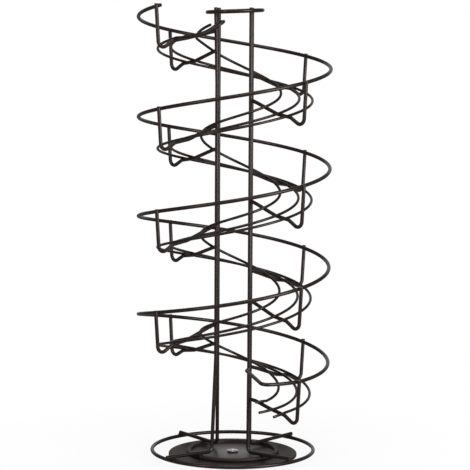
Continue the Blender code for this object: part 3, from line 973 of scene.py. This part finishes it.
def new_finish(name, colour, bloom, values, ripple, metallic=0, sheen=(1, 1, 1)):
    """A finish whose colour, gloss and ripple come from the grain group."""
    if name in bpy.data.materials:
        return bpy.data.materials[name]
    material = bpy.data.materials.new(name)
    material.use_nodes = True
    material.diffuse_color = (*colour, 1)
    tree = material.node_tree
    grain = add_node(tree, "ShaderNodeGroup", {
        "Colour": (*colour, 1),
        "Bloom": (*bloom, 1),
        **values,
    }, node_tree=grain_group()).outputs
    bump = add_node(tree, "ShaderNodeBump", {
        "Distance": ripple,
        "Height": grain["Height"],
    })
    fill(tree, tree.nodes["Principled BSDF"], {
        "Base Color": grain["Colour"],
        "Roughness": grain["Roughness"],
        "Metallic": metallic,
        # For the wire and sheet coats this tint is partly a painted reflection of brown
        # eggs that are not built.
        "Specular Tint": (*sheen, 1),
        "Normal": bump.outputs["Normal"],
    })
    return material


def faded(colour, share):
    return tuple(value * share for value in colour)


def wire_coat(finish):
    return new_finish("rack_wire_coat", finish.coat_colour, finish.coat_bloom, {
        "Roughness": finish.wire_roughness,
        "Roughness Drift": 0.12,
        "Drift Size": 0.03,
        "Grain Size": finish.grain_size,
        "Speckle": 0.1,
    }, COAT_RIPPLE, sheen=finish.coat_sheen_and_painted_reflection)


def sheet_coat(sizes, finish):
    """The coat on the plate and dish, glossier in the middle than at the rim."""
    return new_finish("rack_sheet_coat", finish.coat_colour, finish.coat_bloom, {
        "Roughness": finish.sheet_roughness,
        "Roughness Drift": 0.1,
        "Drift Size": 0.022,
        "Grain Size": finish.grain_size,
        "Speckle": 0.15,
        "Shine Reach": sizes.dish_radius,
        "Dulling": finish.edge_dulling,
    }, COAT_RIPPLE, sheen=finish.coat_sheen_and_painted_reflection)


def zinc_plate(finish):
    dull = faded(finish.steel_colour, ZINC_DULL_SHARE)
    return new_finish("rack_zinc_plate", finish.steel_colour, dull, {
        "Roughness": 0.3,
        "Roughness Drift": 0.15,
        "Drift Size": 0.002,
        "Grain Size": 0.0002,
        "Speckle": 0.25,
    }, ZINC_RIPPLE, metallic=1)


def foot_rubber(finish):
    dusty = faded(finish.rubber_colour, RUBBER_DUST_SHARE)
    return new_finish("rack_foot_rubber", finish.rubber_colour, dusty, {
        "Roughness": 0.78,
        "Roughness Drift": 0.15,
        "Drift Size": 0.003,
        "Grain Size": 0.0003,
        "Speckle": 0.4,
    }, RUBBER_RIPPLE)


def washer_nylon(finish):
    worn = faded(finish.nylon_colour, NYLON_WEAR_SHARE)
    return new_finish("rack_washer_nylon", finish.nylon_colour, worn, {
        "Roughness": 0.45,
        "Roughness Drift": 0.1,
        "Drift Size": 0.004,
        "Grain Size": 0.0004,
        "Speckle": 0.2,
    }, NYLON_RIPPLE)


# Making pieces


def settings(context):
    return context.scene.rack_sizes, context.scene.rack_finish


def keep(item, body, slot, *nodes):
    """Hands a finished piece to its body, in place of its frame nodes."""
    if nodes:
        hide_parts(*nodes)
    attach(item, body)


def wire(context, name, node, points, diameter=None, closed=False):
    """Makes a round coated wire along a path, in place of a frame node."""
    sizes, finish = settings(context)
    path = points if closed else with_round_ends(points, sizes.end_round)
    edges = [(index, index + 1) for index in range(len(path) - 1)]
    if closed:
        edges.append((len(path) - 1, 0))
    mesh = bpy.data.meshes.new(name)
    mesh.from_pydata(path, edges, [])
    item = grown(name, mesh, wire_tree(), {
        "Diameter": diameter or sizes.wire_diameter,
        "Sides": sizes.wire_sides,
        "End Round": 0.0 if closed else sizes.end_round,
        "Material": wire_coat(finish),
    })
    keep(item, "rack", "black_wire", node)


def circle_points(radius, height, steps):
    """Points of a level circle, as (x, y, z)."""
    return [
        (radius * math.cos(angle), radius * math.sin(angle), height)
        for angle in (2 * math.pi * step / steps for step in range(steps))
    ]


def from_bmesh(name, work):
    """An object with a finished bmesh, its faces turned outwards."""
    bmesh.ops.recalc_face_normals(work, faces=work.faces)
    mesh = bpy.data.meshes.new(name)
    work.to_mesh(mesh)
    work.free()
    return placed(name, mesh)


def turned(name, profile, steps, material, closed=True):
    """Turns a profile of (radius, height) points about the Z axis."""
    work = bmesh.new()
    rings = [
        [work.verts.new(place) for place in circle_points(radius, height, steps)]
        if radius
        else [work.verts.new((0, 0, height))]
        for radius, height in profile
    ]
    pairs = list(zip(rings, rings[1:]))
    if closed:
        pairs.append((rings[-1], rings[0]))
    for first, second in pairs:
        for step in range(steps):
            after = (step + 1) % steps
            corners = [
                first[step % len(first)],
                first[after % len(first)],
                second[after % len(second)],
                second[step % len(second)],
            ]
            work.faces.new(list(dict.fromkeys(corners)))
    item = from_bmesh(name, work)
    item.data.materials.append(material)
    item.data.shade_smooth()
    item.data.set_sharp_from_angle(angle=math.radians(SHEET_SMOOTH_ANGLE))
    return item


def pressed(context, name, node, body, corners):
    """Makes a round of coated sheet from (radius, height, bend radius) corners."""
    radii = [bend for _, _, bend in corners[1:-1]]
    path = bent_path([corner[:2] for corner in corners], radii, ROUND_STEPS)
    profile = [(point.x, point.y) for point in path]
    item = turned(name, profile, TURNED_STEPS, sheet_coat(*settings(context)))
    keep(item, body, "black_sheet", node)


class RACK_OT_guard_rail(bpy.types.Operator):
    """Makes the outer spiral that ends against the front right post"""

    bl_idname = "rack.guard_rail"
    bl_label = "Guard Rail"

    def execute(self, context):
        sizes = settings(context)[0]
        leave = LAST_TURN + TAIL_LEAVE_TURN
        turns = turns_between(GUARD_START_TURN, leave, sizes.points_per_turn)
        spiral = [guard_point(sizes, turn) for turn in turns]
        wire(context, "guard_spiral", "guard_rail", spiral[:-1] + guard_tail(sizes))
        return {"FINISHED"}


class RACK_OT_track_rails(bpy.types.Operator):
    """Makes the bent outer and middle rails and the inner rail"""

    bl_idname = "rack.track_rails"
    bl_label = "Track Rails"

    def execute(self, context):
        sizes = settings(context)[0]
        fineness = sizes.points_per_turn
        outer = [
            pair_point(sizes, turn, sizes.outer_rail_radius, OUTER_CURL)
            for turn in turns_between(NOSE_TURN, OUTER_RAIL_END_TURN, fineness)
        ]
        middle = [
            pair_point(sizes, turn, sizes.middle_rail_radius, MIDDLE_CURL)
            + end_lift(turn, MIDDLE_RAIL_END_TURN, MIDDLE_END_LIFT)
            for turn in turns_between(NOSE_TURN, MIDDLE_RAIL_END_TURN, fineness)
        ]
        turns = turns_between(INNER_RAIL_START_TURN, INNER_RAIL_END_TURN, fineness)
        inner = [inner_point(sizes, turn) for turn in turns]
        pair = outer[::-1] + nose(sizes) + middle
        thickness = sizes.rail_diameter
        wire(context, "track_outer_pair", "track_rail_outer_pair", pair, thickness)
        wire(context, "track_inner", "track_rail_inner", inner, thickness)
        return {"FINISHED"}


class RACK_OT_supports(bpy.types.Operator):
    """Makes the sixteen bent supports of the channel"""

    bl_idname = "rack.supports"
    bl_label = "Supports"

    def execute(self, context):
        sizes = settings(context)[0]
        for node, turn, kind in support_kinds():
            outwards = turn_direction(turn)
            path = [
                outwards * place.x + Vector((0, 0, place.y))
                for place in support_path(sizes, turn, kind)
            ]
            wire(context, "bent_" + node, node, path)
        return {"FINISHED"}


class RACK_OT_posts(bpy.types.Operator):
    """Makes the four posts with their bent feet"""

    bl_idname = "rack.posts"
    bl_label = "Posts"

    def execute(self, context):
        for node, post in POSTS.items():
            path = post_path(settings(context)[0], post)
            wire(context, "bent_" + node, node, path)
        return {"FINISHED"}


def ring_path(radius, tilt=0, height=0):
    """A closed ring, tilted about the Y axis."""
    tilted = Matrix.Rotation(math.radians(tilt), 4, "Y")
    turn = Matrix.Translation((0, 0, height)) @ tilted
    return [turn @ Vector(place) for place in circle_points(radius, 0, RING_STEPS)]


def top_ring_facts(sizes):
    """Radius and height of the ring round the top of the posts."""
    radius = post_circle_radius(sizes) + sizes.wire_diameter + WELD_GAP
    top = sizes.channel_top_height - POST_TOP_DROP
    return radius, top - POST_END_ABOVE_RING - sizes.wire_diameter / 2


def base_ring_height(sizes):
    return leg_height(sizes, sizes.base_ring_radius) - sizes.wire_diameter - WELD_GAP


class RACK_OT_rings(bpy.types.Operator):
    """Makes the ring round the posts' tops and the ring round the base"""

    bl_idname = "rack.rings"
    bl_label = "Rings"

    def execute(self, context):
        sizes = settings(context)[0]
        radius, height = top_ring_facts(sizes)
        top = ring_path(radius, TOP_RING_TILT, height)
        base = ring_path(sizes.base_ring_radius, 0, base_ring_height(sizes))
        wire(context, "top_hoop", "top_ring", top, closed=True)
        wire(context, "base_hoop", "base_ring", base, closed=True)
        return {"FINISHED"}


def channel_welds(sizes):
    """Welds on the supports, as (place, normal, run, stretch, swell)."""
    wire_radius = sizes.wire_diameter / 2
    rail_radius = sizes.rail_diameter / 2
    pair_shift = Vector(OUTER_PAIR_SHIFT)
    up = Vector((0, 0, 1))
    welds = []
    for _, turn, kind in support_kinds():
        outwards = turn_direction(turn)
        across = turn_direction(turn + 90)
        reach = outwards * (wire_radius - UPRIGHT_SINK / 2)
        welds.append((guard_point(sizes, turn) + reach, outwards, across, 1, 1))
        rails = [
            (sizes.outer_rail_radius, pair_shift),
            (sizes.middle_rail_radius, pair_shift),
        ]
        if kind != "first":
            rails.append((sizes.inner_rail_radius, Vector(INNER_RAIL_SHIFT)))
        for radius, shift in rails:
            offset = outwards.dot(shift)
            room = radius ** 2 - shift.length_squared + offset ** 2
            distance = offset + math.sqrt(room)
            height, slope = seat(sizes, turn, distance, shelves_at(sizes, distance))
            normal = up - outwards * slope
            place = outwards * distance + up * height
            place -= normal.normalized() * (rail_radius - RAIL_SINK / 2)
            welds.append((place, normal, across, RAIL_WELD_SHARE, RAIL_WELD_SHARE))
        root, level = support_corners(sizes, turn, kind)[0]
        place = outwards * root + up * level
        welds.append((place, outwards, up, ROOT_WELD_STRETCH, 1))
    return welds


def column_welds(sizes):
    """Welds on the posts and legs, as (place, normal, run, stretch, swell)."""
    wire_radius = sizes.wire_diameter / 2
    up = Vector((0, 0, 1))
    ring_radius, ring_height = top_ring_facts(sizes)
    seat_radius = sizes.dish_radius - DISH_RIM_WIDTH / 2
    welds = []
    for post in POSTS.values():
        outwards = Vector((*post["sides"], 0)).normalized()
        ring = outwards * (ring_radius - wire_radius - WELD_GAP / 2)
        ring.z = ring_height - ring.x * math.tan(math.radians(TOP_RING_TILT))
        rim = outwards * seat_radius + up * base_heights(sizes)["rim_top"]
        hoop = outwards * sizes.base_ring_radius
        hoop.z = base_ring_height(sizes) + wire_radius + WELD_GAP / 2
        welds += [
            (ring, outwards, up, 1, 1),
            (rim, up, outwards, RIM_WELD_STRETCH, 1),
            (hoop, up, outwards.cross(up), 1, 1),
        ]
    tail = guard_tail(sizes)
    welds.append((tail[-1], tail[-2] - tail[-1], up, 1, 1))
    return welds


class RACK_OT_welds(bpy.types.Operator):
    """Makes the welds where the wires cross and where the legs sit"""

    bl_idname = "rack.welds"
    bl_label = "Welds"

    def execute(self, context):
        sizes, finish = settings(context)
        welds = channel_welds(sizes) + column_welds(sizes)
        mesh = bpy.data.meshes.new("welds")
        mesh.from_pydata([weld[0] for weld in welds], [], [])
        facing = mesh.attributes.new("facing", "FLOAT_VECTOR", "POINT")
        half_size = mesh.attributes.new("half_size", "FLOAT_VECTOR", "POINT")
        for index, (_, normal, run, stretch, swell) in enumerate(welds):
            normal = normal.normalized()
            side = normal.cross(run).normalized()
            turn = Matrix((side.cross(normal), side, normal)).transposed()
            spread = sizes.weld_spread * stretch
            facing.data[index].vector = turn.to_euler()
            half_size.data[index].vector = (spread, spread, sizes.weld_height * swell)
        item = grown("welds", mesh, weld_tree(), {
            "Segments": WELD_SEGMENTS,
            "Rings": WELD_RINGS,
            "Material": wire_coat(finish),
        })
        keep(item, "rack", "black_wire")
        return {"FINISHED"}


class RACK_OT_dish(bpy.types.Operator):
    """Makes the turning dish with its hollow raised rim"""

    bl_idname = "rack.dish"
    bl_label = "Turning Dish"

    def execute(self, context):
        sizes = settings(context)[0]
        heights = base_heights(sizes)
        hole = SHANK_RADIUS + RUNNING_CLEARANCE
        sheet = DISH_THICKNESS
        radius = sizes.dish_radius
        rim_inner = radius - DISH_RIM_WIDTH
        wall_foot = rim_inner - DISH_WALL_RUN
        skirt_bottom = heights["plate_top"] + DISH_SKIRT_CLEARANCE
        rim_top = heights["rim_top"]
        floor, underside = heights["dish_floor"], heights["dish_underside"]
        pressed(context, "turning_dish", "swivel_dish", "rack", [
            (hole, floor, 0),
            (wall_foot, floor, DISH_FOOT_ROUND),
            (rim_inner, rim_top, DISH_RIM_ROUND),
            (radius, rim_top, DISH_OUTER_ROUND),
            (radius, skirt_bottom, SHEET_EDGE_ROUND),
            (radius - sheet, skirt_bottom, SHEET_EDGE_ROUND),
            (radius - sheet, rim_top - sheet, DISH_OUTER_ROUND - sheet),
            (rim_inner + sheet, rim_top - sheet, DISH_RIM_ROUND - sheet),
            (wall_foot + sheet, underside, DISH_FOOT_ROUND + sheet),
            (hole, underside, 0),
        ])
        return {"FINISHED"}


class RACK_OT_base_plate(bpy.types.Operator):
    """Makes the flat base plate with its turned-down edge"""

    bl_idname = "rack.base_plate"
    bl_label = "Base Plate"

    def execute(self, context):
        sizes = settings(context)[0]
        heights = base_heights(sizes)
        hole = SHANK_RADIUS + RUNNING_CLEARANCE
        radius = sizes.plate_radius
        well_edge = sizes.dish_radius - DISH_RIM_WIDTH + PLATE_WELL_REACH
        well_floor = well_edge - WELL_SLOPE_RUN
        inner_edge = radius - SHEET_THICKNESS
        top, underside = heights["plate_top"], heights["plate_underside"]
        well_top = heights["well_top"]
        well_underside = well_top - SHEET_THICKNESS
        lip_bottom = top - PLATE_LIP_DROP
        pressed(context, "round_plate", "base_plate", "base", [
            (hole, well_top, 0),
            (well_floor, well_top, WELL_ROUND),
            (well_edge, top, WELL_ROUND),
            (radius, top, PLATE_EDGE_ROUND),
            (radius, lip_bottom, SHEET_EDGE_ROUND),
            (inner_edge, lip_bottom, SHEET_EDGE_ROUND),
            (inner_edge, underside, SHEET_EDGE_ROUND),
            (well_edge, underside, WELL_ROUND),
            (well_floor, well_underside, WELL_ROUND),
            (hole, well_underside, 0),
        ])
        return {"FINISHED"}


class RACK_OT_pivot_screw(bpy.types.Operator):
    """Makes the bright pan-head screw that the dish turns on"""

    bl_idname = "rack.pivot_screw"
    bl_label = "Pivot Screw"

    def execute(self, context):
        sizes, finish = settings(context)
        bottom = base_heights(sizes)["head_bottom"]
        radius = sizes.head_radius
        dome_height = HEAD_HEIGHT - HEAD_EDGE_HEIGHT
        profile = []
        for step in range(DOME_STEPS + 1):
            angle = math.radians(90 * step / DOME_STEPS)
            profile.append((
                radius * math.sin(angle) if step else 0,
                bottom + HEAD_EDGE_HEIGHT + dome_height * math.cos(angle),
            ))
        profile += [
            (radius - HEAD_UNDERCUT, bottom),
            (SHANK_RADIUS, bottom),
            (SHANK_RADIUS, SHANK_BOTTOM + SHEET_EDGE_ROUND),
            (SHANK_RADIUS - SHEET_EDGE_ROUND, SHANK_BOTTOM),
            (0, SHANK_BOTTOM),
        ]
        item = turned("pan_head_screw", profile, SCREW_STEPS, zinc_plate(finish), False)
        cutter = self.recess(bottom + HEAD_HEIGHT)
        boolean = item.modifiers.new("Recess", "BOOLEAN")
        boolean.operation = "DIFFERENCE"
        boolean.solver = "EXACT"
        boolean.object = cutter
        cut = settle(item, boolean)
        bpy.data.objects.remove(cutter, do_unlink=True)
        cut.shade_smooth()
        cut.set_sharp_from_angle(angle=math.radians(SCREW_SMOOTH_ANGLE))
        keep(item, "base", "bright_steel", "pivot_screw")
        return {"FINISHED"}

    def recess(self, top):
        """A cross that narrows with its depth."""
        half = RECESS_HALF_WIDTH
        levels = (
            (top - RECESS_DEPTH, RECESS_REACH * RECESS_TAPER_SHARE),
            (top + RECESS_OVERRUN, RECESS_REACH),
        )
        work = bmesh.new()
        rings = []
        for height, reach in levels:
            corners = [
                (reach, -half), (reach, half), (half, half), (half, reach),
                (-half, reach), (-half, half), (-reach, half), (-reach, -half),
                (-half, -half), (-half, -reach), (half, -reach), (half, -half),
            ]
            rings.append([work.verts.new((x, y, height)) for x, y in corners])
        low, high = rings
        work.faces.new(low[::-1])
        work.faces.new(high)
        for index in range(len(low)):
            after = (index + 1) % len(low)
            work.faces.new((low[index], low[after], high[after], high[index]))
        return from_bmesh("screw_recess", work)


class RACK_OT_fittings(bpy.types.Operator):
    """Finishes the feet and the washers under the dish and the plate"""

    bl_idname = "rack.fittings"
    bl_label = "Feet and Washers"

    def execute(self, context):
        finish = settings(context)[1]
        feet = ("foot_front", "foot_right", "foot_back", "foot_left")
        finishes = {node: foot_rubber(finish) for node in feet}
        finishes["thrust_washer"] = washer_nylon(finish)
        finishes["lock_washer"] = zinc_plate(finish)
        for node, material in finishes.items():
            NODES[node].data.materials.clear()
            NODES[node].data.materials.append(material)
        return {"FINISHED"}


class RACK_OT_stage(bpy.types.Operator):
    """Sets the floor, the room, the lamps and the camera"""

    bl_idname = "rack.stage"
    bl_label = "Stage"

    def execute(self, context):
        finish = settings(context)[1]
        self.floor(finish)
        self.room(context, finish)
        for name, place, width, height, power in (
            ("left_strip", (-0.894, -1.065, 0.76), 0.35, 1.3, finish.left_power),
            ("right_box", (1.07, -0.9, 0.45), 0.7, 0.8, finish.right_power),
            ("front_lamp", (0, -0.95, 1.75), 0.7, 0.5, finish.front_power),
            ("top_lamp", (0, 0.2, 2.2), 1, 1, finish.top_power),
            ("wall_lamp", (0, 2.2, 0.6), 3, 1.6, finish.wall_power),
        ):
            self.lamp(name, place, width, height, power)
        self.camera(context)
        context.scene.view_settings.view_transform = "Standard"
        return {"FINISHED"}

    def floor(self, finish):
        """A white floor that glows for the camera beyond the rack's shadow."""
        half = FLOOR_HALF_SIZE
        mesh = bpy.data.meshes.new("floor")
        corners = [(-half, -half), (half, -half), (half, half), (-half, half)]
        mesh.from_pydata([(x, y, 0) for x, y in corners], [], [(0, 1, 2, 3)])
        material = bpy.data.materials.new("pale_floor")
        material.use_nodes = True
        tree = material.node_tree
        path = add_node(tree, "ShaderNodeLightPath").outputs
        colour = add_node(tree, "ShaderNodeMix", {
            "Factor": path["Is Glossy Ray"],
            "A": (*finish.floor_colour, 1),
            "B": (*faded(finish.floor_colour, finish.reflected_floor), 1),
        }, data_type="RGBA")
        shader = tree.nodes["Principled BSDF"]
        fill(tree, shader, {
            "Base Color": colour.outputs["Result"],
            "Roughness": FLOOR_ROUGHNESS,
            "Specular IOR Level": 0,
        })
        place = add_node(tree, "ShaderNodeTexCoord").outputs["Object"]
        away = add_node(tree, "ShaderNodeVectorMath", {0: place}, operation="LENGTH")
        fade = add_node(tree, "ShaderNodeMapRange", {
            "Value": away.outputs["Value"],
            "From Min": SHADOW_REACH,
            "From Max": SHADOW_REACH * SHADOW_FADE,
            "To Min": FLOOR_GLOW_SHARE,
        }).outputs["Result"]
        glow = add_node(tree, "ShaderNodeEmission")
        mix = add_node(tree, "ShaderNodeMixShader", {
            0: math_node(tree, "MULTIPLY", path["Is Camera Ray"], fade),
            1: shader.outputs["BSDF"],
            2: glow.outputs["Emission"],
        })
        fill(tree, tree.nodes["Material Output"], {"Surface": mix.outputs["Shader"]})
        mesh.materials.append(material)
        item = placed("floor", mesh)

    def room(self, context, finish):
        """A white room, dimmer in what the coat mirrors."""
        world = bpy.data.worlds.new("pale_room")
        world.use_nodes = True
        tree = world.node_tree
        path = add_node(tree, "ShaderNodeLightPath").outputs
        glossy = path["Is Glossy Ray"]
        seen = math_node(
            tree, "MAXIMUM", path["Is Camera Ray"], path["Is Transmission Ray"]
        )
        mirrored = math_node(tree, "MULTIPLY", glossy, finish.reflected_room)
        direct = math_node(tree, "MAXIMUM", seen, mirrored)
        other = math_node(tree, "SUBTRACT", 1, glossy, clamp=True)
        plain = math_node(tree, "MULTIPLY", other, finish.room_light)
        fill(tree, tree.nodes["Background"], {
            "Color": (1, 1, 1, 1),
            "Strength": math_node(tree, "MAXIMUM", direct, plain),
        })
        context.scene.world = world

    def lamp(self, name, place, width, height, power):
        """A box of light that faces the rack and that the camera can't see."""
        data = bpy.data.lights.new(name, "AREA")
        data.shape = "RECTANGLE"
        data.size = width
        data.size_y = height
        data.energy = power
        item = placed(name, data)
        look = Vector(LAMP_TARGET) - Vector(place)
        item.rotation_euler = look.to_track_quat("-Z", "Y").to_euler()
        item.location = place
        item.visible_camera = False

    def camera(self, context):
        data = bpy.data.cameras.new("camera")
        data.lens = CAMERA_LENS
        data.sensor_width = CAMERA_SENSOR
        item = placed("camera", data)
        item.matrix_world = (
            Matrix.Translation(CAMERA_PLACE)
            @ Matrix.Rotation(math.radians(CAMERA_HEADING), 4, "Z")
            @ Matrix.Rotation(math.radians(CAMERA_PITCH), 4, "X")
            @ Matrix.Rotation(math.radians(CAMERA_ROLL), 4, "Z")
        )
        context.scene.camera = item


class RACK_PT_panel(bpy.types.Panel):
    """Lists the rack's pieces, sizes and finish in the sidebar"""

    bl_idname = "RACK_PT_panel"
    bl_label = "Wire Rack"
    bl_space_type = "VIEW_3D"
    bl_region_type = "UI"
    bl_category = "Wire Rack"

    def draw(self, context):
        layout = self.layout
        pieces = layout.column(align=True)
        for operator in OPERATORS:
            pieces.operator(operator.bl_idname)
        for group in settings(context):
            column = layout.column(align=True)
            for label in type(group).__annotations__:
                column.prop(group, label)


OPERATORS = (
    RACK_OT_stage,
    RACK_OT_guard_rail,
    RACK_OT_track_rails,
    RACK_OT_supports,
    RACK_OT_posts,
    RACK_OT_rings,
    RACK_OT_welds,
    RACK_OT_dish,
    RACK_OT_base_plate,
    RACK_OT_pivot_screw,
    RACK_OT_fittings,
)
CLASSES = (RackSizes, RackFinish, *OPERATORS, RACK_PT_panel)


def register():
    for item in CLASSES:
        bpy.utils.register_class(item)
    bpy.types.Scene.rack_sizes = PointerProperty(type=RackSizes)
    bpy.types.Scene.rack_finish = PointerProperty(type=RackFinish)


def unregister():
    del bpy.types.Scene.rack_finish
    del bpy.types.Scene.rack_sizes
    for item in reversed(CLASSES):
        bpy.utils.unregister_class(item)


def main():
    register()
    bpy.ops.rack.stage()
    bpy.ops.rack.guard_rail()
    bpy.ops.rack.track_rails()
    bpy.ops.rack.supports()
    bpy.ops.rack.posts()
    bpy.ops.rack.rings()
    bpy.ops.rack.welds()
    bpy.ops.rack.dish()
    bpy.ops.rack.base_plate()
    bpy.ops.rack.pivot_screw()
    bpy.ops.rack.fittings()


if __name__ == "__main__":
    main()
